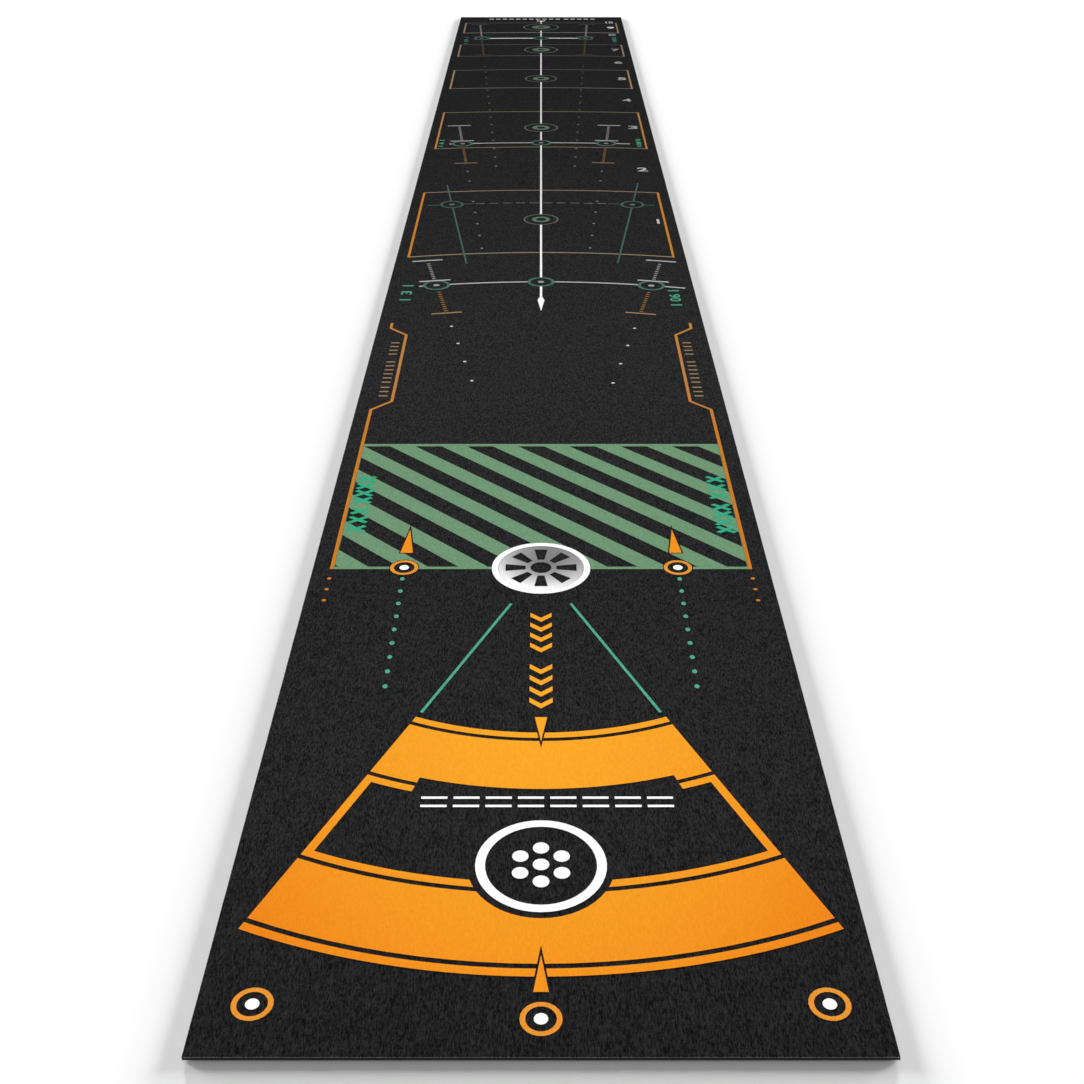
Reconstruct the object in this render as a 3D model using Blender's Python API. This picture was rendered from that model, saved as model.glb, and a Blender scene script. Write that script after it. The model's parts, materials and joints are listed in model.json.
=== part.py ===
"""Practice putting mat: a printed velour pile bonded to a rubber underlay.

Metres, +Z up. The mat lies flat with its underside on Z = 0 and is centred on X and Y.
+Y runs up the mat, from the end with the hole mark to the far end. Each printed figure is
a thin film of ink on the pile, and films that meet are parted by a hair of bare pile.
"""
import math

import bmesh
import bpy
from mathutils import Vector

# The laminate, from the floor up.
MAT_LENGTH = 4.0
MAT_WIDTH = 0.5
RUBBER = 0.0024
BOND = 0.00015
BACKING = 0.00025
PILE = 0.0009
INK = 0.0001

# What every printed figure keeps to.
INK_GAP = 0.0003
LINE = 0.0041
CUT_REACH = 0.01

# The hole mark.
HOLE_FROM_END = 0.660
HOLE_DIAMETER = 0.108
RIM_STROKE = 0.007
HUB_RADIUS = 0.0115
SLOT_COUNT = 8
SLOT_START = 0.0168
SLOT_MARGIN = 0.0078
SLOT_INNER_WIDTH = 0.0076
SLOT_OUTER_WIDTH = 0.0146

# The aiming fan, from its outermost line in towards the hole.
FAN_END_MARGIN = 0.073
FAN_SIDE_MARGIN = 0.0173
FAN_LINE = 0.0078
FAN_GAP = 0.0047
OUTER_BAND = 0.0732
FRAME_DEPTH = 0.1112
INNER_BAND = 0.0742
WINDOW_REACH = {-1: 0.1087, 1: 0.1193}
WINDOW_DEPTH = 0.0072
BADGE_DIAMETER = 0.107
BADGE_STROKE = 0.008
BADGE_CLEARANCE = 0.0065
BADGE_INSET = 0.0335
POINTER_LENGTH = 0.036
POINTER_WIDTH = 0.0115
POINTER_CLEARANCE = 0.0016
INNER_POINTER_LEAD = 0.0235
OUTER_POINTER_LEAD = 0.0147
GUIDE_STROKE = 0.003
GUIDE_FROM_RIM = 0.026
GUIDE_TO_FAN = 0.008

# Ball markers: a ring with a pointer beside the hole, and three rings at the end.
MARKER_DIAMETER = 0.031
MARKER_STROKE = 0.0041
MARKER_CLEARANCE = 0.001
HOLE_MARKER_INSET = 0.100
END_MARKER_INSET = 0.041
END_MARKER_FROM_END = 0.047
MIDDLE_MARKER_FROM_END = 0.0335
SIDE_POINTER_FROM_HOLE_LINE = 0.032
SIDE_POINTER_LENGTH = 0.0525
SIDE_POINTER_WIDTH = 0.0140

# The hatched ground beyond the hole, and the rails beside it.
HATCH_LENGTH = 0.311
HATCH_NEAR_BORDER = 0.0052
HATCH_FAR_BORDER = 0.0068
HATCH_PITCH = 0.0656
HATCH_BARE = 0.0335
HATCH_PHASE = 0.0090
HATCH_START_BELOW_HOLE = 0.0034
HATCH_EDGE = 0.0004
RAIL_INSET = 0.0208
RAIL_JOG = 0.0257
RAIL_TURNS = (0.413, 0.440, 0.682, 0.709)
RAIL_END = 0.731

# Set-out up the mat: distances from the hole, drawn for this much playing length.
DRAWN_PLAY_LENGTH = 3.34
ZONES = ((1.067, 1.447), (1.776, 2.100), (2.353, 2.568), (2.749, 2.908), (3.087, 3.244))
TARGETS = ((1.257, 0.065), (1.946, 0.077), (2.459, 0.083), (2.832, 0.095), (3.172, 0.108))
STATIONS = (0.917, 1.812, 3.000)
BULLSEYE_SHARE = 0.52
BULLSEYE_HOLE = 0.019
HALO_STROKE = 0.0030
STATION_BREAK = 0.0425
CENTRE_LINE_WIDTH = 0.0036
CENTRE_LINE_START = 0.783
CENTRE_LINE_END_MARGIN = 0.058
ARROW_LENGTH = 0.064
ARROW_WIDTH = 0.0110
ARROW_SHOULDER = 0.0485

# How finely round shapes are drawn.
FINE, MEDIUM, COARSE = 48, 32, 22
ARC_STEPS, ZONE_STEPS = 20, 6

# Places that follow from the sizes.
HOLE_Y = HOLE_FROM_END - MAT_LENGTH / 2
PILE_TOP = RUBBER + BOND + BACKING + PILE
INK_TOP = PILE_TOP + INK
RAIL_X = MAT_WIDTH / 2 - RAIL_INSET
STRETCH = (MAT_LENGTH - HOLE_FROM_END) / DRAWN_PLAY_LENGTH
FAN_RADIUS = HOLE_FROM_END - FAN_END_MARGIN
FAN_ANGLE = math.asin((MAT_WIDTH / 2 - FAN_SIDE_MARGIN) / FAN_RADIUS)
UP_MAT, DOWN_MAT = 1, -1

ORANGE = (0.93, 0.34, 0.035)
WHITE = (0.86, 0.86, 0.86)
GREY = (0.42, 0.42, 0.42)
TEAL = (0.05, 0.46, 0.28)
GREEN = (0.15, 0.35, 0.16)
CHARCOAL = (0.018, 0.018, 0.018)


def material(name, colour, roughness=0.85):
    """A plain matt material of one colour."""
    made = bpy.data.materials.new(name)
    made.use_nodes = True
    shader = made.node_tree.nodes["Principled BSDF"]
    shader.inputs["Base Color"].default_value = (*colour, 1)
    shader.inputs["Roughness"].default_value = roughness
    shader.inputs["Metallic"].default_value = 0
    return made


def raised(name, points, faces, low, high):
    """A solid whose plan is the given faces, from height low to height high."""
    shape = bmesh.new()
    corners = [shape.verts.new((x, y, low)) for x, y in points]
    plan = [shape.faces.new([corners[i] for i in face]) for face in faces]
    grown = bmesh.ops.extrude_face_region(shape, geom=plan)["geom"]
    lifted = [item for item in grown if isinstance(item, bmesh.types.BMVert)]
    for corner in lifted:
        corner.co.z = high
    bmesh.ops.recalc_face_normals(shape, faces=shape.faces)
    mesh = bpy.data.meshes.new(name)
    shape.to_mesh(mesh)
    shape.free()
    made = bpy.data.objects.new(name, mesh)
    bpy.context.scene.collection.objects.link(made)
    return made


def strip_faces(count, closed=False):
    """Quads between two rows of count points each, laid one after the other."""
    spans = count if closed else count - 1
    return [(i, (i + 1) % count, count + (i + 1) % count, count + i) for i in range(spans)]


def inked(obj, colour):
    """Gives a printed figure its own ink."""
    obj.data.materials.append(material(obj.name + "_ink", colour))
    return obj


def strip(name, rows, colour, closed=False):
    """A printed figure between two rows of points."""
    faces = strip_faces(len(rows[0]), closed)
    return inked(raised(name, [*rows[0], *rows[1]], faces, PILE_TOP, INK_TOP), colour)


def patch(name, outline, colour):
    """A printed figure inside one outline."""
    return inked(raised(name, outline, [range(len(outline))], PILE_TOP, INK_TOP), colour)


def cutter(name, outlines):
    """A helper that clears every given outline out of the ink."""
    points, faces = [], []
    for outline in outlines:
        faces.append(range(len(points), len(points) + len(outline)))
        points.extend(outline)
    made = raised(name, points, faces, PILE_TOP - CUT_REACH, INK_TOP + CUT_REACH)
    made.hide_render = True
    made.display_type = "WIRE"
    return made


def clear(obj, *cutters, operation="DIFFERENCE"):
    """Cuts each helper out of a figure, or with INTERSECT keeps only what is inside it."""
    for tool in cutters:
        modifier = obj.modifiers.new(tool.name, "BOOLEAN")
        modifier.operation = operation
        modifier.solver = "EXACT"
        modifier.object = tool


def arc(radius, start, end, steps=ARC_STEPS, facing=UP_MAT):
    """Points about the hole, at angles from the mat's centre line, + to the right."""
    angles = [start + (end - start) * i / steps for i in range(steps + 1)]
    return [(radius * math.sin(a), HOLE_Y + facing * radius * math.cos(a)) for a in angles]


def circle(x, y, radius, steps):
    """The points of a whole circle, once round."""
    turns = [2 * math.pi * i / steps for i in range(steps)]
    return [(x + radius * math.cos(a), y + radius * math.sin(a)) for a in turns]


def rectangle(half_width, low, high):
    return [(-half_width, low), (half_width, low), (half_width, high), (-half_width, high)]


def ring(name, x, y, diameter, stroke, colour, steps):
    """A printed ring."""
    rows = [circle(x, y, radius, steps) for radius in (diameter / 2, diameter / 2 - stroke)]
    return strip(name, rows, colour, closed=True)


def stroke(path, width):
    """The two sides of a line of one width along a path, with mitred corners."""
    points = [Vector(point) for point in path]
    runs = [(b - a).normalized() for a, b in zip(points, points[1:])]
    sides = [], []
    for i, point in enumerate(points):
        before, after = runs[max(i - 1, 0)], runs[min(i, len(runs) - 1)]
        mitre = (before + after).orthogonal().normalized()
        reach = mitre * width / 2 / mitre.dot(before.orthogonal())
        sides[0].append(point + reach)
        sides[1].append(point - reach)
    return sides


def wedge(x, base_y, length, width, facing, grow=0):
    """A pointer's triangle, grown outwards by a clearance all round."""
    half = width / 2
    slant = math.hypot(half, length)
    base = base_y - facing * grow
    half_base = half + grow * (slant + half) / length
    tip = base_y + facing * (length + grow * slant / half)
    return [(x - half_base, base), (x + half_base, base), (x, tip)]


def mirrored(points, side):
    """The same points on the left, for side -1, or on the right."""
    return [(side * x, y) for x, y in points]


def sided(name, side):
    return f"{name}_{'left' if side < 0 else 'right'}"


def laminate():
    """The four full-size layers, stacked face to face from the floor up."""
    corners = rectangle(MAT_WIDTH / 2, -MAT_LENGTH / 2, MAT_LENGTH / 2)
    layers = (
        ("rubber_underlay", RUBBER, (0.012, 0.012, 0.012), 0.7),
        ("bond_coat", BOND, (0.30, 0.28, 0.22), 0.6),
        ("primary_backing", BACKING, (0.10, 0.10, 0.10), 0.9),
        ("pile_face", PILE, CHARCOAL, 0.95),
    )
    low = 0
    for name, thickness, colour, roughness in layers:
        layer = raised(name, corners, [range(4)], low, low + thickness)
        layer.data.materials.append(material(name, colour, roughness))
        low += thickness


def hole_mark():
    """The white rim and the slotted plate inside it."""
    ring("hole_rim", 0, HOLE_Y, HOLE_DIAMETER, RIM_STROKE, WHITE, FINE)
    plate_radius = HOLE_DIAMETER / 2 - RIM_STROKE - INK_GAP
    plate = ring("hole_plate", 0, HOLE_Y, 2 * plate_radius, plate_radius - HUB_RADIUS, GREY, FINE)
    slot_end = plate_radius - SLOT_MARGIN
    slots = []
    for i in range(SLOT_COUNT):
        turn = 2 * math.pi * i / SLOT_COUNT
        out = Vector((math.sin(turn), math.cos(turn)))
        across = Vector((out.y, -out.x))
        inner, outer = across * SLOT_INNER_WIDTH / 2, across * SLOT_OUTER_WIDTH / 2
        corners = (out * SLOT_START - inner, out * SLOT_START + inner,
                   out * slot_end + outer, out * slot_end - outer)
        slots.append([(x, HOLE_Y + y) for x, y in corners])
    clear(plate, cutter("slot_cutter", slots))


def sector(name, inner, outer, start, end, colour=ORANGE):
    """Part of a ring about the hole, on its short side."""
    rows = [arc(radius, start, end, facing=DOWN_MAT) for radius in (inner, outer)]
    return strip(name, rows, colour)


def fan():
    """The orange bands, lines and frame between the hole and the end, with their pointers."""
    outer_line = FAN_RADIUS - FAN_LINE
    band_out = outer_line - FAN_GAP
    band_in = band_out - OUTER_BAND
    frame_out = band_in - FAN_GAP
    frame_in = frame_out - FRAME_DEPTH
    inner_band_out = frame_in - FAN_GAP
    inner_band_in = inner_band_out - INNER_BAND
    inner_line_out = inner_band_in - FAN_GAP
    inner_line = inner_line_out - FAN_LINE

    pointers = {
        "inner": (HOLE_Y - inner_line + INNER_POINTER_LEAD, DOWN_MAT),
        "outer": (HOLE_Y - FAN_RADIUS - OUTER_POINTER_LEAD, UP_MAT),
    }
    pointer_cutters = {}
    for place, (base_y, facing) in pointers.items():
        size = (0, base_y, POINTER_LENGTH, POINTER_WIDTH, facing)
        patch(f"{place}_pointer", wedge(*size), ORANGE)
        room = wedge(*size, grow=POINTER_CLEARANCE)
        pointer_cutters[place] = cutter(f"{place}_pointer_cutter", [room])

    badge_y = HOLE_Y - band_in + BADGE_INSET
    ring("badge_ring", 0, badge_y, BADGE_DIAMETER, BADGE_STROKE, WHITE, FINE)
    badge_room = circle(0, badge_y, BADGE_DIAMETER / 2 + BADGE_CLEARANCE, FINE)
    badge_cutter = cutter("badge_cutter", [badge_room])

    window = {side: math.asin(reach / inner_band_out) for side, reach in WINDOW_REACH.items()}
    window_floor = arc(inner_band_out - WINDOW_DEPTH, -window[-1], window[1], facing=DOWN_MAT)
    window_top = arc(inner_band_out + FAN_GAP / 2, window[1], -window[-1], facing=DOWN_MAT)
    window_cutter = cutter("window_cutter", [window_floor + window_top])

    inner_band = sector("fan_inner_band", inner_band_in, inner_band_out, -FAN_ANGLE, FAN_ANGLE)
    clear(inner_band, pointer_cutters["inner"], window_cutter)
    outer_band = sector("fan_outer_band", band_in, band_out, -FAN_ANGLE, FAN_ANGLE)
    clear(outer_band, pointer_cutters["outer"], badge_cutter)

    for side in (-1, 1):
        half = 0, side * FAN_ANGLE
        line = sector(sided("fan_inner_line", side), inner_line, inner_line_out, *half)
        clear(line, pointer_cutters["inner"])
        line = sector(sided("fan_outer_line", side), outer_line, FAN_RADIUS, *half)
        clear(line, pointer_cutters["outer"])

        near, far = frame_in + FAN_LINE / 2, frame_out - FAN_LINE / 2
        corners = [FAN_ANGLE - math.asin(FAN_LINE / 2 / radius) for radius in (near, far)]
        path = arc(near, window[side], corners[0], ZONE_STEPS, DOWN_MAT)
        path += arc(far, corners[1], 0, facing=DOWN_MAT)[:-1]
        frame = strip(sided("fan_frame", side), stroke(mirrored(path, side), FAN_LINE), ORANGE)
        clear(frame, badge_cutter)

        guide = FAN_ANGLE - math.asin(GUIDE_STROKE / 2 / inner_line)
        ends = HOLE_DIAMETER / 2 + GUIDE_FROM_RIM, inner_line - GUIDE_TO_FAN
        path = [arc(radius, 0, guide, 1, DOWN_MAT)[1] for radius in ends]
        strip(sided("guide_line", side), stroke(mirrored(path, side), GUIDE_STROKE), TEAL)


def end_markers():
    """The three ball rings in front of the fan."""
    end = -MAT_LENGTH / 2
    side_x = MAT_WIDTH / 2 - END_MARKER_INSET
    places = {
        "end_marker_left": (-side_x, end + END_MARKER_FROM_END),
        "end_marker_middle": (0, end + MIDDLE_MARKER_FROM_END),
        "end_marker_right": (side_x, end + END_MARKER_FROM_END),
    }
    for name, (x, y) in places.items():
        ring(name, x, y, MARKER_DIAMETER, MARKER_STROKE, ORANGE, COARSE)


def hatch():
    """The striped ground beyond the hole, cleared round the marks that stand on it."""
    half_width = RAIL_X - LINE / 2 - INK_GAP
    low = HOLE_Y - HATCH_START_BELOW_HOLE
    high = low + HATCH_LENGTH
    ground = patch("hatch", rectangle(half_width, low, high), GREEN)

    # The bare stripes lean left at 45 degrees, and stop at the borders and a hair from the sides.
    inside = rectangle(half_width - HATCH_EDGE, low + HATCH_NEAR_BORDER, high - HATCH_FAR_BORDER)
    first = math.floor((-half_width - HATCH_PHASE) / HATCH_PITCH)
    last = math.ceil((half_width + HATCH_LENGTH - HATCH_PHASE) / HATCH_PITCH)
    stripes = []
    for i in range(first, last):
        foot = HATCH_PHASE + HATCH_PITCH * i
        stripes.append([(foot, HOLE_Y), (foot + HATCH_BARE, HOLE_Y),
                        (foot + HATCH_BARE - HATCH_LENGTH, HOLE_Y + HATCH_LENGTH),
                        (foot - HATCH_LENGTH, HOLE_Y + HATCH_LENGTH)])
    bare = cutter("stripe_cutter", stripes)
    clear(bare, cutter("stripe_limits", [inside]), operation="INTERSECT")
    clear(ground, bare)

    rim_room = circle(0, HOLE_Y, HOLE_DIAMETER / 2 + INK_GAP, FINE)
    rooms = [rim_room]
    marker_x = MAT_WIDTH / 2 - HOLE_MARKER_INSET
    for side in (-1, 1):
        x = side * marker_x
        ring(sided("hole_marker", side), x, HOLE_Y, MARKER_DIAMETER, MARKER_STROKE, ORANGE, COARSE)
        size = (x, HOLE_Y + SIDE_POINTER_FROM_HOLE_LINE, SIDE_POINTER_LENGTH, SIDE_POINTER_WIDTH, UP_MAT)
        patch(sided("side_pointer", side), wedge(*size), ORANGE)
        rooms.append(circle(x, HOLE_Y, MARKER_DIAMETER / 2 + MARKER_CLEARANCE, COARSE))
        rooms.append(wedge(*size, grow=POINTER_CLEARANCE))
    clear(ground, cutter("mark_cutter", rooms))


def rails():
    """The orange side lines, which jog in round a label and back."""
    leave, inside, back, rejoin = (HOLE_Y + distance for distance in RAIL_TURNS)
    jog_x = RAIL_X - RAIL_JOG
    path = [(RAIL_X, HOLE_Y - HATCH_START_BELOW_HOLE), (RAIL_X, leave), (jog_x, inside),
            (jog_x, back), (RAIL_X, rejoin), (RAIL_X, HOLE_Y + RAIL_END)]
    for side in (-1, 1):
        strip(sided("rail", side), stroke(mirrored(path, side), LINE), ORANGE)


def zones():
    """The framed distance zones, each in two halves beside the centre line."""
    start_x = CENTRE_LINE_WIDTH / 2 + INK_GAP
    for number, (near, far) in enumerate(ZONES, 1):
        near, far = near * STRETCH, far * STRETCH
        path = arc(near, math.asin(start_x / near), math.asin(RAIL_X / near), ZONE_STEPS)
        path += arc(far, math.asin(RAIL_X / far), math.asin(start_x / far), ZONE_STEPS)
        for side in (-1, 1):
            rows = stroke(mirrored(path, side), LINE)
            strip(sided(f"zone_{number}", side), rows, ORANGE)


def targets():
    """A green bullseye ring in a grey halo, in the middle of each zone."""
    for number, (distance, diameter) in enumerate(TARGETS, 1):
        y = HOLE_Y + distance * STRETCH
        bullseye = diameter * BULLSEYE_SHARE
        stroke_width = (bullseye - BULLSEYE_HOLE) / 2
        ring(f"bullseye_{number}", 0, y, bullseye, stroke_width, GREEN, COARSE)
        ring(f"halo_{number}", 0, y, diameter, HALO_STROKE, GREY, MEDIUM)


def centre_line():
    """The white putting line, broken at every ring on it, with its arrowhead first."""
    breaks = [(distance * STRETCH, diameter / 2 + INK_GAP) for distance, diameter in TARGETS]
    breaks += [(distance * STRETCH, STATION_BREAK / 2) for distance in STATIONS]
    starts = [CENTRE_LINE_START * STRETCH]
    ends = []
    for distance, half in sorted(breaks):
        ends.append(distance - half)
        starts.append(distance + half)
    ends.append(MAT_LENGTH - HOLE_FROM_END - CENTRE_LINE_END_MARGIN)
    for number, (start, end) in enumerate(zip(starts, ends), 1):
        low, high = HOLE_Y + start, HOLE_Y + end
        outline = rectangle(CENTRE_LINE_WIDTH / 2, low, high)
        if number == 1:
            shoulder, neck = low + ARROW_SHOULDER, low + ARROW_LENGTH
            half_line, half_head = CENTRE_LINE_WIDTH / 2, ARROW_WIDTH / 2
            outline[:2] = [(-half_line, neck), (-half_head, shoulder), (0, low),
                           (half_head, shoulder), (half_line, neck)]
        patch(f"centre_line_{number}", outline, WHITE)


for leftover in list(bpy.data.objects):
    bpy.data.objects.remove(leftover, do_unlink=True)

laminate()
hole_mark()
fan()
end_markers()
hatch()
rails()
zones()
targets()
centre_line()
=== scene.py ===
# %% [markdown]
# # A practice putting mat
#
# A putting mat is a long strip of printed velour with rubber under it. It is a laminate:
# a short pile that the ball rolls on, a woven backing that holds the pile, a bond coat,
# and a rubber underlay that grips the floor. The print is dye in the tips of the pile.
# The frame gives every layer and every large figure its exact place. This lesson gives
# them their looks, and adds what is too small for the frame: the nap, the cut edge, the
# grip under the mat, and the small dots, dashes and numbers.

# %% Load the frame
import json
import math

import bmesh
import bpy
from mathutils import Matrix, Vector, noise

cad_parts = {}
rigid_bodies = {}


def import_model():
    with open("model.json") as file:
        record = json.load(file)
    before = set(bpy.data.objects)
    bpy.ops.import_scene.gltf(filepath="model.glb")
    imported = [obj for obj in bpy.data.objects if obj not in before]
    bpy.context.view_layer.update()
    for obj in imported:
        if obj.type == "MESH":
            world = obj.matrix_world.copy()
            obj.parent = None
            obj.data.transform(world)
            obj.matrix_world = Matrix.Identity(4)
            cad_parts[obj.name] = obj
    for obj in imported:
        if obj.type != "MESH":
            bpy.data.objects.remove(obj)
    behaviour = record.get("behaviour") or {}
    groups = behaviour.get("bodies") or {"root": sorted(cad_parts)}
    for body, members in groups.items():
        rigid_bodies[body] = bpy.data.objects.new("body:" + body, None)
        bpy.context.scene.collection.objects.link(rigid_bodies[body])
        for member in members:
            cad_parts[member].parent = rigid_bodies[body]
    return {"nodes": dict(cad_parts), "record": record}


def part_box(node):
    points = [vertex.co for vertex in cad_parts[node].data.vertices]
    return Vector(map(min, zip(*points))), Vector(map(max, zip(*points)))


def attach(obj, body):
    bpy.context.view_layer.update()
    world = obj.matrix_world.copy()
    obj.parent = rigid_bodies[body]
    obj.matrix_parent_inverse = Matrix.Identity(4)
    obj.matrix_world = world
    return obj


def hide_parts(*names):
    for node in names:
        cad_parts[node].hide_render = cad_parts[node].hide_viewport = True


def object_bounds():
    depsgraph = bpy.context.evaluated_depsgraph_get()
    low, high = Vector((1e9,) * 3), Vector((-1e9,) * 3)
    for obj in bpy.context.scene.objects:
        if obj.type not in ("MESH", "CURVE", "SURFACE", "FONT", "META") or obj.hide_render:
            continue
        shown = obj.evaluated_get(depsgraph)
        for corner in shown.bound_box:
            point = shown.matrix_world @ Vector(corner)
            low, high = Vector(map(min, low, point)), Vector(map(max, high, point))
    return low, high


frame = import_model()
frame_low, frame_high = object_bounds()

for leftover in list(bpy.data.objects):
    if leftover.name in ("Cube", "Light", "Camera"):
        bpy.data.objects.remove(leftover, do_unlink=True)

nodes = frame["nodes"]
print(f"{len(nodes)} pieces in the frame, {frame_high.y - frame_low.y:.2f} m long")


def put(name, data):
    """A new object in the scene, with the given mesh, lens, lamp or text."""
    made = bpy.data.objects.new(name, data)
    bpy.context.collection.objects.link(made)
    return made

# %% [markdown]
# ## Sizes
#
# Nothing is measured twice. The heights of the layers and the places of the marks
# are read from the frame, so a figure added here lands where the frame says.

# %% Heights and places read from the frame
def middle(node):
    """The centre of a piece of the frame."""
    low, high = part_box(node)
    return (low + high) / 2


PILE_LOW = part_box("pile_face")[0].z
PILE_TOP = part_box("pile_face")[1].z
DYE_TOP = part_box("hole_rim")[1].z
RUBBER_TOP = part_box("rubber_underlay")[1].z
WIDTH, LENGTH = frame_high.x - frame_low.x, frame_high.y - frame_low.y
NEAR_END = frame_low.y
HOLE = middle("hole_rim")
RAIL_STROKE = 0.0041
RAIL_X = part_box("rail_right")[1].x - RAIL_STROKE / 2

print(f"pile top {1000 * PILE_TOP:.2f} mm, dye top {1000 * DYE_TOP:.2f} mm")
print(f"hole at {HOLE.y - NEAR_END:.3f} m from the near end")

# %% [markdown]
# ## Camera
#
# The mat is looked at from above its near end, about as a golfer looks down at it. A
# lens a little longer than normal keeps the near corners from stretching.

# %% Camera
lens = bpy.data.cameras.new("golfer_view")
lens.sensor_width = 36
lens.lens = 47.324
lens.shift_x = 0.0009
lens.clip_start = 0.01
camera = put("golfer_view", lens)
camera.location = (0, -2.679, 0.8085)
camera.rotation_euler = (math.radians(60.02), 0, 0)
bpy.context.scene.camera = camera
print("camera at", tuple(round(value, 3) for value in camera.location))

# %% [markdown]
# ## Building node trees
#
# Materials and Geometry Nodes are both trees of nodes. One small helper adds a node, sets
# its options, and fills its sockets: a number or a colour is typed in, and the output of
# another node is wired in. A few short helpers cover what every tree asks for.

# %% Helpers that add nodes
def add(tree, kind, inputs=None, **options):
    """A new node, with its options set and its sockets filled or wired."""
    made = tree.nodes.new(kind)
    for option, value in options.items():
        setattr(made, option, value)
    for socket, value in (inputs or {}).items():
        if isinstance(value, bpy.types.NodeSocket):
            tree.links.new(value, made.inputs[socket])
        else:
            made.inputs[socket].default_value = value
    return made


def sum_of(tree, operation, first, second=0.0):
    """One step of arithmetic."""
    return add(tree, "ShaderNodeMath", {0: first, 1: second}, operation=operation).outputs[0]


def place_on_mat(tree):
    """The place on the mat, in metres."""
    return add(tree, "ShaderNodeTexCoord").outputs["Object"]


def along(tree, axis):
    """The same place, measured along one axis only."""
    return add(tree, "ShaderNodeSeparateXYZ", {0: place_on_mat(tree)}).outputs[axis]


def choice(tree, mask, first, second):
    """The first colour where the mask is 0, and the second where it is 1."""
    return add(tree, "ShaderNodeMix", {0: mask, 4: first, 5: second},
               data_type="VECTOR").outputs[1]

# %% [markdown]
# ## The nap of the velour
#
# Brushed velour is never one even colour. Its fibres lie over in small tufts a
# millimetre or two across, drawn out along the way the cloth was brushed, with a fainter
# grain across it from the knit below. The same nap runs under every printed figure, so it
# is one group, shared by the bare pile and by each dye.

# %% The nap, shared by every finish on the pile
def nap_group():
    """A shader group: how light each tuft is, from 0 to 1, round a middle of one half."""
    tree = bpy.data.node_groups.new("velour_nap", "ShaderNodeTree")
    tree.interface.new_socket("Shade", in_out="OUTPUT", socket_type="NodeSocketFloat")
    place = place_on_mat(tree)
    layers = (
        ((1050, 230, 400), 0.62, 1.0),
        ((260, 800, 400), 0.16, 1.0),
        ((1900, 1200, 900), 0.14, 0.0),
        ((90, 60, 40), 0.08, 2.0),
    )
    total = 0.0
    for scale, share, detail in layers:
        spot = add(tree, "ShaderNodeMapping", {"Vector": place, "Scale": scale})
        cloud = add(tree, "ShaderNodeTexNoise", {
            "Vector": spot.outputs[0], "Scale": 1.0, "Detail": detail, "Roughness": 0.6})
        total = sum_of(tree, "ADD", sum_of(tree, "MULTIPLY", cloud.outputs[0], share), total)
    out = add(tree, "NodeGroupOutput")
    tree.links.new(total, out.inputs[0])
    return tree


nap = nap_group()
print("nap group with", len(nap.nodes), "nodes")

# %% [markdown]
# ## Finishes
#
# Every colour on the mat is pile with dye in it, so every one is made the same way: the
# nap picks between a darker and a lighter version of the colour, and lifts the surface a
# little. The fibres are matt, so there is no mirror-like shine at all. Colours are given
# as they look on screen and turned into the light they send back.

# %% Colours as they look, turned into light
def linear(red, green, blue):
    """A screen colour from 0 to 255 as light from 0 to 1."""
    made = []
    for value in (red / 255, green / 255, blue / 255):
        low = value <= 0.04045
        made.append(value / 12.92 if low else ((value + 0.055) / 1.055) ** 2.4)
    return tuple(made)


def times(colour, factor):
    """A colour made darker or lighter, as a socket wants it."""
    return (*(min(part * factor, 1.0) for part in colour), 1.0)


def grey(value):
    """A screen colour with no tint."""
    return value, value, value

# %% What every finish is made of
def new_finish(name, roughness, specular):
    """A finish with nothing in its tree yet but the shader."""
    made = bpy.data.materials.new(name)
    made.use_nodes = True
    shader = made.node_tree.nodes["Principled BSDF"]
    shader.inputs["Roughness"].default_value = roughness
    shader.inputs["Specular IOR Level"].default_value = specular
    return made, made.node_tree, shader.inputs


def dark_to_light(tree, cloud, low, high, colour, spread):
    """A colour that is darker where the cloud is low and lighter where it is high."""
    ramp = add(tree, "ShaderNodeValToRGB", {0: cloud})
    stops = ramp.color_ramp.elements
    stops[0].position, stops[1].position = low, high
    stops[0].color = times(colour, 1 - spread)
    stops[1].color = times(colour, 1 + spread)
    return ramp.outputs[0]


def raise_surface(tree, height, relief, distance):
    """Small relief from a height. The last call on a tree is the one that counts."""
    bump = add(tree, "ShaderNodeBump", {
        "Height": height, "Strength": relief, "Distance": distance})
    tree.links.new(bump.outputs[0], tree.nodes["Principled BSDF"].inputs["Normal"])

# %% A finish of dyed pile
TUFTS_DARK, TUFTS_LIGHT = 0.38, 0.62


def pile_finish(name, look, spread, relief):
    """Dyed pile. look is a screen colour, or a function that builds a shade in the tree."""
    made, tree, sockets = new_finish(name, 0.95, 0.0)
    tufts = add(tree, "ShaderNodeGroup", node_tree=nap).outputs[0]
    if callable(look):
        light = add(tree, "ShaderNodeMapRange", {
            0: tufts, 1: TUFTS_DARK, 2: TUFTS_LIGHT, 3: 1 - spread, 4: 1 + spread}).outputs[0]
        tint = add(tree, "ShaderNodeVectorMath", {0: look(tree), 3: light},
                   operation="SCALE").outputs[0]
    else:
        tint = dark_to_light(tree, tufts, TUFTS_DARK, TUFTS_LIGHT, linear(*look), spread)
    tree.links.new(tint, sockets["Base Color"])
    raise_surface(tree, tufts, relief, 0.0006)
    return made
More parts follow.
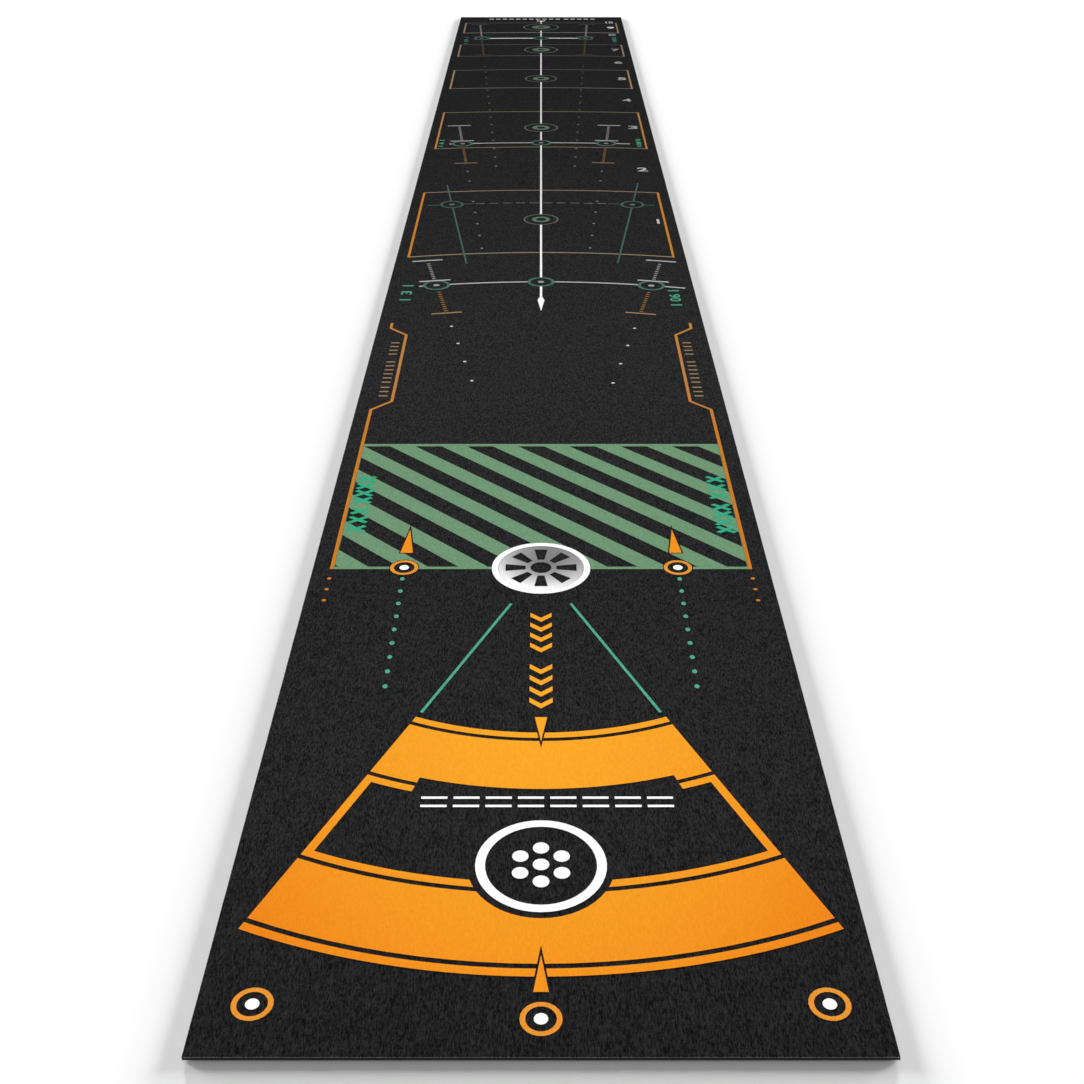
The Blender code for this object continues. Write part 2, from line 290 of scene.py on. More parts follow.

# %% [markdown]
# Some shades change along the mat. The bare pile is painted darkest close to the near end
# and lightest a little past the hole: a painted sheen of the nap, which leans up the mat.
# A list of distances and colours, turned into a blend along the length, follows that.

# %% A blend of colours, and a shade that changes along the mat
def blended(tree, share, *stops):
    """Screen colours that run into each other, each at its own share from 0 to 1."""
    ramp = add(tree, "ShaderNodeValToRGB", {0: share})
    blend = ramp.color_ramp.elements
    for end, (position, colour) in zip(blend, (stops[0], stops[-1])):
        end.position = position
        end.color = times(linear(*colour), 1)
    for position, colour in stops[1:-1]:
        blend.new(position).color = times(linear(*colour), 1)
    return ramp.outputs[0]


def faded(*stops):
    """A shade from distances up the mat, each with the colour the pile has there."""
    def shade(tree):
        """The blend, built in the tree that asks for it."""
        from_end = sum_of(tree, "SUBTRACT", along(tree, "Y"), NEAR_END)
        share = sum_of(tree, "DIVIDE", from_end, LENGTH)
        return blended(tree, share, *((distance / LENGTH, colour) for distance, colour in stops))
    return shade

# %% The bare pile and the plain dyes
# Below this height, on the cut side of the pile, a pale grey is painted as a highlight of the edge.
EDGE_HIGHLIGHT_BELOW = PILE_TOP - 0.00022
# Painted sheen: the bare pile's colour is lighter mid-mat and darker towards both ends.
painted_nap_sheen = faded((0, (31, 31, 32)), (0.3, (36, 36, 37)), (0.6, (36, 36, 37)),
                  (1.1, (39, 39, 40)), (1.35, (39, 39, 40)), (1.85, (36, 36, 36)),
                  (2.4, (34, 34, 34)), (3.1, (32, 32, 33)))


def pile_shade(tree):
    """The painted nap sheen on top, and a painted highlight on the cut side of the pile."""
    painted_edge_highlight = sum_of(tree, "LESS_THAN", along(tree, "Z"), EDGE_HIGHLIGHT_BELOW)
    return choice(tree, painted_edge_highlight, painted_nap_sheen(tree), linear(124, 124, 125))


charcoal_pile = pile_finish("charcoal_pile", pile_shade, 0.70, 0.20)
white_dye = pile_finish("white_dye", grey(250), 0.08, 0.15)
grey_dye = pile_finish("grey_dye", (100, 104, 102), 0.15, 0.2)
teal_dye = pile_finish("teal_dye", (80, 160, 132), 0.15, 0.2)
green_dye = pile_finish("green_dye", (106, 142, 109), 0.14, 0.2)

# %% [markdown]
# The orange is not one colour either: it was printed a little yellower near the hole and
# a little redder towards the corners of the fan. A distance from a point ahead of the
# fan, turned into a blend of two oranges, follows that.

# %% Orange dye, redder away from the hole
HEART_OF_FAN, BLEND_PER_METRE = NEAR_END + 0.42, 2.2


def orange_shade(tree):
    """A blend of four oranges, by the distance from a point in the fan."""
    wide = add(tree, "ShaderNodeMapping", {
        "Vector": place_on_mat(tree), "Scale": (1.5, 1.0, 0.0)})
    away = add(tree, "ShaderNodeVectorMath", {
        0: wide.outputs[0], 1: (0, HEART_OF_FAN, 0)}, operation="DISTANCE").outputs["Value"]
    share = sum_of(tree, "MULTIPLY", away, BLEND_PER_METRE)
    return blended(tree, share, (0.0, (243, 164, 41)), (0.45, (236, 153, 38)),
                   (0.70, (233, 145, 33)), (1.0, (227, 127, 26)))


orange_dye = pile_finish("orange_dye", orange_shade, 0.05, 0.12)

# %% [markdown]
# Ink lies on the tips of the fibres only. A bold shape covers them all, but along a thin
# stroke bare fibres lean over the ink from both sides, so it looks greyer than a bold
# shape of the same ink. The pile leans up the mat, so strokes that run across it are
# hidden most. Each kind of thin stroke gets its own fainter dye.

# %% Dyes of the thin strokes
side_shade = faded((0.65, (192, 119, 38)), (1.0, (190, 118, 38)), (1.2, (176, 122, 70)),
                   (1.45, (182, 122, 44)), (1.9, (182, 120, 44)), (2.6, (164, 117, 66)),
                   (3.1, (145, 122, 90)), (3.5, (132, 112, 98)), (3.8, (128, 120, 94)))
arc_shade = faded((1.7, (138, 124, 100)), (2.1, (131, 115, 101)), (2.45, (121, 108, 96)),
                  (2.76, (114, 106, 92)), (3.01, (114, 108, 100)), (3.23, (92, 91, 86)),
                  (3.41, (94, 90, 88)), (3.57, (84, 80, 78)), (3.75, (136, 134, 126)),
                  (3.9, (88, 84, 78)))
ZONE_SIDE = RAIL_X - 0.004


def zone_shade(tree):
    """The sides of a zone keep more of their orange than the arcs across it."""
    from_middle = sum_of(tree, "ABSOLUTE", along(tree, "X"))
    at_side = sum_of(tree, "GREATER_THAN", from_middle, ZONE_SIDE)
    return choice(tree, at_side, arc_shade(tree), side_shade(tree))

# %% Thin orange
slot_of_dye = {}


def thin_dye(name, look, spread=0.1, relief=0.12):
    """A fainter dye. Its name ends in the colour of ink that it stands for."""
    slot_of_dye[name] = name.split("_")[-1] + "_ink"
    return pile_finish(name, look, spread, relief)


side_orange = thin_dye("side_orange", side_shade, 0.08)
zone_orange = thin_dye("zone_orange", zone_shade, 0.08)
ladder_orange = thin_dye("ladder_orange", faded(
    (1.5, (144, 104, 56)), (2.4, (128, 98, 60)), (3.5, (88, 80, 66))))
bar_orange = thin_dye("bar_orange", faded(
    (1.43, (150, 124, 92)), (2.3, (128, 114, 96)), (3.4, (74, 68, 60))))
marker_orange = thin_dye("marker_orange", (222, 142, 50), 0.08)

# %% Thin white
line_white = thin_dye("line_white", faded(
    (1.4, grey(242)), (2.1, grey(216)), (2.7, grey(204)), (3.2, grey(206)), (3.75, grey(194))),
    0.08)
count_white = thin_dye("count_white", faded(
    (1.9, grey(176)), (2.25, grey(172)), (2.6, grey(148)), (3.1, grey(166)), (3.35, grey(150)),
    (3.71, grey(132)), (3.82, grey(212)), (3.91, grey(180)), (3.96, grey(162))))
station_white = thin_dye("station_white", faded(
    (1.57, grey(178)), (2.47, grey(182)), (3.6, grey(250))), 0.08)
bar_white = thin_dye("bar_white", faded(
    (1.6, grey(176)), (2.6, grey(172)), (3.6, grey(96)), (3.8, grey(70))), 0.08)
ladder_white = thin_dye("ladder_white", grey(144))
spot_white = thin_dye("spot_white", faded(
    (1.5, (140, 146, 143)), (2.4, (118, 122, 120)), (3.4, (96, 100, 98))))
dot_white = thin_dye("dot_white", grey(196))

# %% Thin teal, green and grey
sign_teal = thin_dye("sign_teal", (54, 160, 124), 0.12, 0.15)
ring_teal = thin_dye("ring_teal", (72, 104, 94), 0.12)
aim_teal = thin_dye("aim_teal", (66, 92, 83), 0.12)
label_teal = thin_dye("label_teal", faded(
    (1.5, (76, 146, 120)), (2.45, (72, 144, 112)), (3.6, (74, 118, 104))), 0.12)
target_green = thin_dye("target_green", faded(
    (1.9, (88, 110, 92)), (2.6, (84, 104, 86)), (3.8, (80, 96, 84))), 0.12)
halo_grey = thin_dye("halo_grey", (92, 95, 93), 0.12)
print(len(slot_of_dye), "dyes for thin strokes")

# %% [markdown]
# The plate inside the hole mark is printed as a shaded disc, like a real metal cup seen
# from above: almost white on the near side, a mid grey on the far side, and darker
# towards the hub.

# %% Grey dye of the hole plate, shaded from one side to the other
LIGHTER_TOWARDS = (-1.9, -5.2, 0)
HUB_REACH, RIM_REACH = 0.012, 0.044
HUB_SHADE, RIM_SHADE = 0.55, 0.76


def plate_shade(tree):
    """Greys by how near a point is and how far it lies from the hub."""
    from_hole = add(tree, "ShaderNodeVectorMath", {
        0: place_on_mat(tree), 1: (0, HOLE.y, 0)}, operation="SUBTRACT").outputs[0]
    nearer = add(tree, "ShaderNodeVectorMath", {0: from_hole, 1: LIGHTER_TOWARDS},
                 operation="DOT_PRODUCT").outputs["Value"]
    flat = add(tree, "ShaderNodeVectorMath", {0: from_hole, 1: (1, 1, 0)}, operation="MULTIPLY")
    reach = add(tree, "ShaderNodeVectorMath", {0: flat.outputs[0]}, operation="LENGTH")
    outer = add(tree, "ShaderNodeMapRange", {
        0: reach.outputs["Value"], 1: HUB_REACH, 2: RIM_REACH, 3: HUB_SHADE,
        4: RIM_SHADE}).outputs[0]
    steps = [(step, grey(247 * step)) for step in (0.5, 0.6, 0.7, 0.8, 0.9, 1.0)]
    return blended(tree, sum_of(tree, "ADD", nearer, outer), (0.4, grey(100)), *steps)


plate_dye = pile_finish("plate_dye", plate_shade, 0.05, 0.12)

# %% [markdown]
# ## Rubber, bond and backing
#
# Under the pile, only cut edges show. The rubber is black with the dusty bloom of new
# rubber, the bond coat is a dull latex, and the backing is a grey woven scrim.

# %% Rubber
def plain_finish(name, colour, roughness, grain, spread, relief, specular):
    """A finish with a fine even grain, for what lies under the pile."""
    made, tree, sockets = new_finish(name, roughness, specular)
    cloud = add(tree, "ShaderNodeTexNoise", {
        "Vector": place_on_mat(tree), "Scale": grain, "Detail": 4.0,
        "Roughness": 0.65}).outputs[0]
    tint = dark_to_light(tree, cloud, 0.3, 0.7, linear(*colour), spread)
    tree.links.new(tint, sockets["Base Color"])
    raise_surface(tree, cloud, relief, 0.0003)
    return made


black_rubber = plain_finish("black_rubber", (38, 38, 39), 0.62, 900, 0.3, 0.2, 0.3)
dull_latex = plain_finish("dull_latex", (84, 82, 76), 0.7, 1200, 0.2, 0.2, 0.2)

# %% Woven scrim
def scrim_finish():
    """Two sets of flat tapes, one over the other, from two waves that cross."""
    made = plain_finish("grey_scrim", (96, 96, 94), 0.85, 1500, 0.2, 0.1, 0.1)
    tree = made.node_tree
    tapes = [add(tree, "ShaderNodeTexWave", {"Vector": place_on_mat(tree), "Scale": 250.0},
                 bands_direction=direction).outputs["Fac"] for direction in ("X", "Y")]
    raise_surface(tree, sum_of(tree, "MAXIMUM", *tapes), 0.5, 0.0002)
    return made


grey_scrim = scrim_finish()
print(len(bpy.data.materials), "finishes so far")

# %% [markdown]
# ## Dressing the frame
#
# The large printed figures are in the frame already, cut to their exact outlines. Each
# keeps its shape and only gets its dye. The record says which figure is which colour, and
# the thin ones get the fainter dye of their kind, by what their names have in common.

# %% Give every piece of the frame its finish
finish_of_slot = {
    "rubber": black_rubber, "bond": dull_latex, "backing": grey_scrim, "pile": charcoal_pile,
    "orange_ink": orange_dye, "white_ink": white_dye, "grey_ink": grey_dye,
    "teal_ink": teal_dye, "green_ink": green_dye,
}
slot_of_dye.update({finish.name: slot for slot, finish in finish_of_slot.items()})
dye_of_kind = {
    "rail": side_orange, "zone": zone_orange, "centre_line": line_white, "halo": halo_grey,
    "bullseye": target_green, "marker": marker_orange, "hole_plate": plate_dye,
}
for row in frame["record"]["subparts"]:
    dyes = [dye for kind, dye in dye_of_kind.items() if kind in row["node"]]
    slots = nodes[row["node"]].data.materials
    slots.clear()
    slots.append(dyes[0] if dyes else finish_of_slot[row["material_slot"]])
print("dressed", len(nodes), "pieces of the frame")

# %% [markdown]
# ## Flat pieces
#
# Most of what follows is flat: a plan with a small height. A plan is a list of points and
# the faces between them. One helper lifts any number of plans into one closed piece.

# %% Plans: points, and the faces between them
def circle(x, y, radius, steps=24):
    """Points once round a circle."""
    turns = [2 * math.pi * step / steps for step in range(steps)]
    return [(x + radius * math.cos(turn), y + radius * math.sin(turn)) for turn in turns]


def disc(x, y, diameter, steps=24):
    """A round spot."""
    return circle(x, y, diameter / 2, steps), [range(steps)]


def ring(x, y, diameter, stroke, steps=32):
    """A round line. The diameter is the outer one."""
    points = circle(x, y, diameter / 2, steps) + circle(x, y, diameter / 2 - stroke, steps)
    faces = [(i, (i + 1) % steps, steps + (i + 1) % steps, steps + i) for i in range(steps)]
    return points, faces


def block(x, y, width, length, turn=0.0):
    """A bar, turned clockwise about its own middle."""
    corners = [(-width / 2, -length / 2), (width / 2, -length / 2),
               (width / 2, length / 2), (-width / 2, length / 2)]
    return [(x + a * math.cos(turn) + b * math.sin(turn),
             y - a * math.sin(turn) + b * math.cos(turn)) for a, b in corners], [range(4)]


def stretched(plan, factor):
    """The same plan, longer or shorter along the mat."""
    points, faces = plan
    return [(x, factor * y) for x, y in points], faces


def about_hole(radius, angle):
    """A place on the mat, by its distance from the hole and its angle off the middle."""
    return radius * math.sin(angle), HOLE.y + radius * math.cos(angle)


def sweep(radius, stroke, start, end, steps=14):
    """Part of a ring about the hole."""
    rows = []
    for reach in (radius - stroke / 2, radius + stroke / 2):
        for step in range(steps + 1):
            rows.append(about_hole(reach, start + (end - start) * step / steps))
    faces = [(i, i + 1, steps + i + 2, steps + i + 1) for i in range(steps)]
    return rows, faces

# %% Lift plans into one closed piece
INK_LOW, INK_TOP = PILE_TOP - 0.00005, DYE_TOP + 0.00002
HAIR = 0.00002
pieces = []


def object_from(shape, name, finish):
    """The object that a finished bmesh becomes."""
    mesh = bpy.data.meshes.new(name)
    shape.to_mesh(mesh)
    shape.free()
    mesh.materials.append(finish)
    return put(name, mesh)


def lifted(name, plans, low, high, finish):
    """A closed solid over every plan in the list, from one height to the other."""
    shape = bmesh.new()
    for points, faces in plans:
        corners = [shape.verts.new((x, y, low)) for x, y in points]
        plan = [shape.faces.new([corners[i] for i in face]) for face in faces]
        grown = bmesh.ops.extrude_face_region(shape, geom=plan)["geom"]
        for item in grown:
            if isinstance(item, bmesh.types.BMVert):
                item.co.z = high
    bmesh.ops.recalc_face_normals(shape, faces=shape.faces)
    return object_from(shape, name, finish)


def keep(piece, dye):
    """Notes a finished print and the ink it is made of."""
    pieces.append((piece, slot_of_dye[dye.name]))


def printed(name, plans, dye, lift=0.0):
    """A printed figure: a film of dyed pile, a hair higher where it crosses another."""
    keep(lifted(name, plans, INK_LOW, INK_TOP + lift, dye), dye)

# %% [markdown]
# ## The velour face
#
# The pile of the frame is a plain slab. The real one is a cloth, cut from a wide roll
# with a blade: its edge wanders by a fraction of a millimetre, and the last fibres there
# have lost their neighbours on one side, so they droop a little. Pushing a grid of points
# about by a rule makes both. The columns crowd towards the edges, where the shape changes.

# %% Where the columns and rows of the cloth lie
def crowded(half, fine, coarse):
    """Places from -half to half: a few close to each edge, then even steps between."""
    inner = half - fine[-1]
    count = max(2, round(2 * inner / coarse))
    middle_places = [-inner + 2 * inner * step / count for step in range(count + 1)]
    low = [-half + reach for reach in fine[:-1]]
    return low + middle_places + [-place for place in reversed(low)]


EDGE_STEPS = (0.0, 0.0003, 0.0007, 0.0012, 0.002, 0.006)
COLUMN_STEP, ROW_STEP = 0.026, 0.012
columns = crowded(WIDTH / 2, EDGE_STEPS, COLUMN_STEP)
rows = crowded(LENGTH / 2, EDGE_STEPS, ROW_STEP)
print(len(columns), "columns by", len(rows), "rows")

# %% The cloth
WANDER, DROOP = 0.0003, 0.00005
WANDER_REACH, DROOP_REACH = EDGE_STEPS[-1], 0.0006


def cut_cloth(name, low, high):
    """A closed sheet whose cut edge wanders inwards and whose top droops there."""
    shape = bmesh.new()
    grid = {}
    for level in (0, 1):
        for i, x in enumerate(columns):
            for j, y in enumerate(rows):
                inset = WIDTH / 2 - abs(x), LENGTH / 2 - abs(y)
                hold_x, hold_y = (max(0.0, 1 - reach / WANDER_REACH) for reach in inset)
                shift_x = WANDER * hold_x * (0.5 + 0.5 * noise.noise(Vector((0, y * 90, x))))
                shift_y = WANDER * hold_y * (0.5 + 0.5 * noise.noise(Vector((x * 90, 0, y))))
                drop = DROOP * max(0.0, 1 - min(inset) / DROOP_REACH) ** 2
                spot = (x - math.copysign(shift_x, x), y - math.copysign(shift_y, y),
                        high - drop if level else low)
                grid[level, i, j] = shape.verts.new(spot)
    across, along = len(columns) - 1, len(rows) - 1
    for i in range(across):
        for j in range(along):
            around = ((i, j), (i + 1, j), (i + 1, j + 1), (i, j + 1))
            shape.faces.new([grid[1, a, b] for a, b in around])
            shape.faces.new([grid[0, a, b] for a, b in reversed(around)])
    rim = [(i, 0) for i in range(across)] + [(across, j) for j in range(along)]
    rim += [(i, along) for i in range(across, 0, -1)] + [(0, j) for j in range(along, 0, -1)]
    for here, after in zip(rim, rim[1:] + rim[:1]):
        shape.faces.new([grid[0, *here], grid[0, *after], grid[1, *after], grid[1, *here]])
    return object_from(shape, name, charcoal_pile)


velour = cut_cloth("velour_face", PILE_LOW, PILE_TOP)
pieces.append((velour, "pile"))
print("velour has", len(velour.data.polygons), "faces")

# %% [markdown]
# ## Growing what repeats
#
# The cut edge has thousands of loose fibres, the underlay thousands of studs, and the
# print dozens of dots. Each of these is grown by a Geometry Nodes tree: points along a
# path, one small shape on every point, then real mesh. The sizes are inputs of the tree,
# so one tree serves many rows.

# %% Run a tree and keep its result as a plain mesh
def plain_mesh(source):
    """The mesh that an object shows once its modifiers and curves are worked out."""
    graph = bpy.context.evaluated_depsgraph_get()
    return bpy.data.meshes.new_from_object(source.evaluated_get(graph), depsgraph=graph)


def grow(name, tree, sizes):
    """Runs a Geometry Nodes tree with the given inputs and keeps the mesh it makes."""
    made = put(name, bpy.data.meshes.new(name))
    step = made.modifiers.new(tree.name, "NODES")
    step.node_group = tree
    for socket in tree.interface.items_tree:
        if socket.in_out == "INPUT" and socket.name in sizes:
            step[socket.identifier] = sizes[socket.name]
    mesh = plain_mesh(made)
    made.modifiers.clear()
    made.data = mesh
    mesh.name = name
    return made


def new_tree(name, **inputs):
    """An empty tree with named inputs of each kind, and the sockets that carry them."""
    tree = bpy.data.node_groups.new(name, "GeometryNodeTree")
    tree.interface.new_socket("Geometry", in_out="OUTPUT", socket_type="NodeSocketGeometry")
    for kind, labels in inputs.items():
        for label in labels:
            tree.interface.new_socket(label, in_out="INPUT", socket_type="NodeSocket" + kind)
    return tree, add(tree, "NodeGroupInput").outputs


def end_tree(tree, shapes, finish):
    """The last steps of every tree: real mesh, its finish, and the output."""
    real = add(tree, "GeometryNodeRealizeInstances", {0: shapes}).outputs[0]
    dressed = add(tree, "GeometryNodeSetMaterial", {0: real, "Material": finish}).outputs[0]
    add(tree, "NodeGroupOutput", {0: dressed})

# %% [markdown]
# ### The cut edge
#
# A fibre at the edge is a thin three-sided cone. It leans out from the mat by a random
# amount, because nothing holds it up on that side. The path is a rectangle just inside
# the edge, and the seeds are fixed so that the same fibres grow every time.

# %% The tree of the edge fibres
def edge_tree():
    """Small cones along a rectangle, each leaning out by its own amount."""
    tree, given = new_tree("cut_edge_fibres", Material=["Finish"], Float=[
        "Width", "Length", "Height", "Spacing", "Fibre Length", "Fibre Radius"])
    outline = add(tree, "GeometryNodeCurvePrimitiveQuadrilateral", {
        "Width": given["Width"], "Height": given["Length"]}).outputs[0]
    beads = add(tree, "GeometryNodeCurveToPoints", {
        "Curve": outline, "Length": given["Spacing"]}, mode="LENGTH")
    outward = add(tree, "ShaderNodeVectorMath", {
        0: beads.outputs["Tangent"], 1: (0, 0, 1)}, operation="CROSS_PRODUCT").outputs[0]
    lean = add(tree, "FunctionNodeRandomValue", {
        "Min": (-0.9, -0.9, 0.15), "Max": (0.9, 0.9, 1.6), "Seed": 11},
        data_type="FLOAT_VECTOR").outputs[0]
    aim = add(tree, "ShaderNodeVectorMath", {0: outward, 1: lean}, operation="ADD").outputs[0]
    turn = add(tree, "FunctionNodeAlignRotationToVector", {"Vector": aim}, axis="Z").outputs[0]
    fibre = add(tree, "GeometryNodeMeshCone", {
        "Vertices": 3, "Radius Bottom": given["Fibre Radius"], "Radius Top": 0.00001,
        "Depth": given["Fibre Length"]}).outputs[0]
    size = add(tree, "FunctionNodeRandomValue", {2: 0.5, 3: 1.2, "Seed": 5}).outputs[1]
    placed = add(tree, "GeometryNodeInstanceOnPoints", {
        "Points": beads.outputs[0], "Instance": fibre, "Rotation": turn,
        "Scale": size}).outputs[0]
    rise = add(tree, "ShaderNodeCombineXYZ", {2: given["Height"]}).outputs[0]
    raised = add(tree, "GeometryNodeTransform", {
        "Geometry": placed, "Translation": rise}).outputs[0]
    end_tree(tree, raised, given["Finish"])
    return tree


# Painted highlight: the loose fibres are a lighter grey than the pile, as if the cut edge caught
# the light.
edge_fibre = pile_finish("loose_fibre_highlit", (92, 92, 93), 0.4, 0.1)
INSET = 0.0005
fringe = grow("cut_edge_fibres", edge_tree(), {
    "Width": WIDTH - 2 * INSET, "Length": LENGTH - 2 * INSET,
    "Height": PILE_TOP - INSET, "Spacing": 0.0006,
    "Fibre Length": 0.0009, "Fibre Radius": 0.00008, "Finish": edge_fibre})
pieces.append((fringe, "pile"))
print("edge fibres:", len(fringe.data.polygons), "faces")

# %% [markdown]
# ### The grip under the mat
#
# Rubber underlay is pressed against an embossed belt while it is soft. That leaves rows
# of low studs which hold the mat on a smooth floor. The tree lays a slab and sets a flat
# four-sided stud on every point of a grid below it.

# %% The tree of the underlay
def underlay_tree():
    """A slab with flat studs on a grid below it."""
    tree, given = new_tree("grip_underlay", Int=["Columns", "Rows"], Material=["Finish"], Float=[
        "Width", "Length", "Top", "Stud Height", "Stud Radius", "Margin"])
    thick = sum_of(tree, "SUBTRACT", given["Top"], given["Stud Height"])
    size = add(tree, "ShaderNodeCombineXYZ", {
        0: given["Width"], 1: given["Length"], 2: thick}).outputs[0]
    slab = add(tree, "GeometryNodeMeshCube", {"Size": size}).outputs[0]
    half_way = sum_of(tree, "ADD", sum_of(tree, "MULTIPLY", thick, 0.5), given["Stud Height"])
    centre = add(tree, "ShaderNodeCombineXYZ", {2: half_way}).outputs[0]
    slab = add(tree, "GeometryNodeTransform", {0: slab, "Translation": centre}).outputs[0]
    inner = [sum_of(tree, "SUBTRACT", given[side], given["Margin"]) for side in ("Width", "Length")]
    points = add(tree, "GeometryNodeMeshGrid", {
        "Size X": inner[0], "Size Y": inner[1],
        "Vertices X": given["Columns"], "Vertices Y": given["Rows"]}).outputs[0]
    tall = sum_of(tree, "MULTIPLY", given["Stud Height"], 1.2)
    small = sum_of(tree, "MULTIPLY", given["Stud Radius"], 0.7)
    stud = add(tree, "GeometryNodeMeshCone", {
        "Vertices": 4, "Radius Bottom": small, "Radius Top": given["Stud Radius"],
        "Depth": tall}).outputs[0]
    placed = add(tree, "GeometryNodeInstanceOnPoints", {
        "Points": points, "Instance": stud}).outputs[0]
    both = add(tree, "GeometryNodeJoinGeometry")
    tree.links.new(slab, both.inputs[0])
    tree.links.new(placed, both.inputs[0])
    end_tree(tree, both.outputs[0], given["Finish"])
    return tree


underlay = grow("grip_underlay", underlay_tree(), {
    "Width": WIDTH, "Length": LENGTH, "Top": RUBBER_TOP,
    "Stud Height": 0.0004, "Stud Radius": 0.0055, "Columns": 38, "Rows": 308,
    "Margin": 0.016, "Finish": black_rubber})
pieces.append((underlay, "rubber"))
print("underlay:", len(underlay.data.polygons), "faces, from",
      round(1000 * min(v.co.z for v in underlay.data.vertices), 2), "mm up")

# %% [markdown]
# ### Rows of marks
#
# Most small print is one shape repeated at even steps. A straight row takes a start and a
# step. A fan takes distances and angles from the hole, and its shapes turn to face it.

# %% The tree of a straight row
def straight_tree():
    """A mark at even steps along a straight line."""
    tree, given = new_tree("straight_row", Object=["Mark"], Int=["Count"],
                           Vector=["Start", "Step"], Material=["Dye"])
    line = add(tree, "GeometryNodeMeshLine", {
        "Count": given["Count"], "Start Location": given["Start"],
        "Offset": given["Step"]}).outputs[0]
    mark = add(tree, "GeometryNodeObjectInfo", {0: given["Mark"]}).outputs["Geometry"]
    placed = add(tree, "GeometryNodeInstanceOnPoints", {
        "Points": line, "Instance": mark}).outputs[0]
    end_tree(tree, placed, given["Dye"])
    return tree

# %% The tree of a fanned row
def fanned_tree():
    """A mark at even steps of distance and angle about a centre."""
    tree, given = new_tree(
        "fanned_row", Object=["Mark"], Int=["Count"], Vector=["Centre"], Material=["Dye"],
        Float=["First Distance", "Distance Step", "First Angle", "Angle Step"])
    line = add(tree, "GeometryNodeMeshLine", {"Count": given["Count"]}).outputs[0]
    number = add(tree, "GeometryNodeInputIndex").outputs[0]
    reach = sum_of(tree, "MULTIPLY", number, given["Distance Step"])
    reach = sum_of(tree, "ADD", reach, given["First Distance"])
    angle = sum_of(tree, "MULTIPLY", number, given["Angle Step"])
    angle = sum_of(tree, "ADD", angle, given["First Angle"])
    out_x = sum_of(tree, "MULTIPLY", reach, sum_of(tree, "SINE", angle))
    out_y = sum_of(tree, "MULTIPLY", reach, sum_of(tree, "COSINE", angle))
    away = add(tree, "ShaderNodeCombineXYZ", {0: out_x, 1: out_y}).outputs[0]
    place = add(tree, "ShaderNodeVectorMath", {0: away, 1: given["Centre"]},
                operation="ADD").outputs[0]
    points = add(tree, "GeometryNodeSetPosition", {0: line, "Position": place}).outputs[0]
    mark = add(tree, "GeometryNodeObjectInfo", {0: given["Mark"]}).outputs["Geometry"]
    turn = add(tree, "ShaderNodeCombineXYZ", {2: sum_of(tree, "MULTIPLY", angle, -1.0)}).outputs[0]
    placed = add(tree, "GeometryNodeInstanceOnPoints", {
        "Points": points, "Instance": mark, "Rotation": turn}).outputs[0]
    end_tree(tree, placed, given["Dye"])
    return tree


straight_row, fanned_row = straight_tree(), fanned_tree()

# %% Marks to repeat, and the two kinds of row
marks = {}


def mark(name, *plans):
    """A shape to repeat, drawn about the origin at print height."""
    marks[name] = lifted(name, plans, INK_LOW, INK_TOP, white_dye)


def row_of(name, shape, count, start, step, dye):
    """A straight row. start and step are places on the mat."""
    keep(grow(name, straight_row, {
        "Mark": marks[shape], "Count": count, "Start": (*start, 0.0), "Step": (*step, 0.0),
        "Dye": dye}), dye)


def fan_of(name, shape, count, dye, reach, angle, centre=None, lift=0.0):
    """A fanned row. reach and angle are each a first value and a step."""
    x, y = centre or (0.0, HOLE.y)
    keep(grow(name, fanned_row, {
        "Mark": marks[shape], "Count": count, "Centre": (x, y, lift), "Dye": dye,
        "First Distance": reach[0], "Distance Step": reach[1],
        "First Angle": math.radians(angle[0]), "Angle Step": math.radians(angle[1])}), dye)

# %% [markdown]
# ## Ball spots and dotted lines
#
# A ball is placed on a white spot in the middle of each orange ring. From the two rings
# beside the hole a line of teal dots runs back to show the ball's path, and three small
# orange dots carry each side line on past the hole.

# %% Spots and dots near the hole
BALL_SPOT, PATH_X = 0.0104, 0.150
mark("path_dot", stretched(disc(0, 0, 0.0050, 12), 1.4))
mark("side_dot", disc(0, 0, 0.0046, 12))
mark("small_dot", disc(0, 0, 0.0050, 12))
spots = [middle(f"{place}_marker_{side}") for place, side in (
    ("end", "left"), ("end", "middle"), ("end", "right"), ("hole", "left"), ("hole", "right"))]
printed("ball_spots", [disc(spot.x, spot.y, BALL_SPOT) for spot in spots], white_dye)
for side, name in ((-1, "left"), (1, "right")):
    row_of(f"path_dots_{name}", "path_dot", 9, (side * PATH_X, HOLE.y - 0.024),
           (0, -0.0247), teal_dye)
    row_of(f"side_dots_{name}", "side_dot", 3, (side * RAIL_X, HOLE.y - 0.023),
           (0, -0.022), side_orange)

# %% [markdown]
# ## Signs in place of words
#
# Plain signs say to everyone where a putt is good and where it is bad: arrows along the
# good line, crosses over the bad ground, and tick marks beside the side lines. The badge
# is a golf ball's dimples, and two rows of short bars fill the window of the fan.

# %% The shapes of the signs
def chevron(width, depth, stroke):
    """An arrowhead without a shaft, pointing down the mat."""
    half = width / 2
    points = [(-half, depth / 2), (0, stroke - depth / 2), (half, depth / 2),
              (half, depth / 2 - stroke), (0, -depth / 2), (-half, depth / 2 - stroke)]
    return points, [(0, 1, 4, 5), (1, 2, 3, 4)]


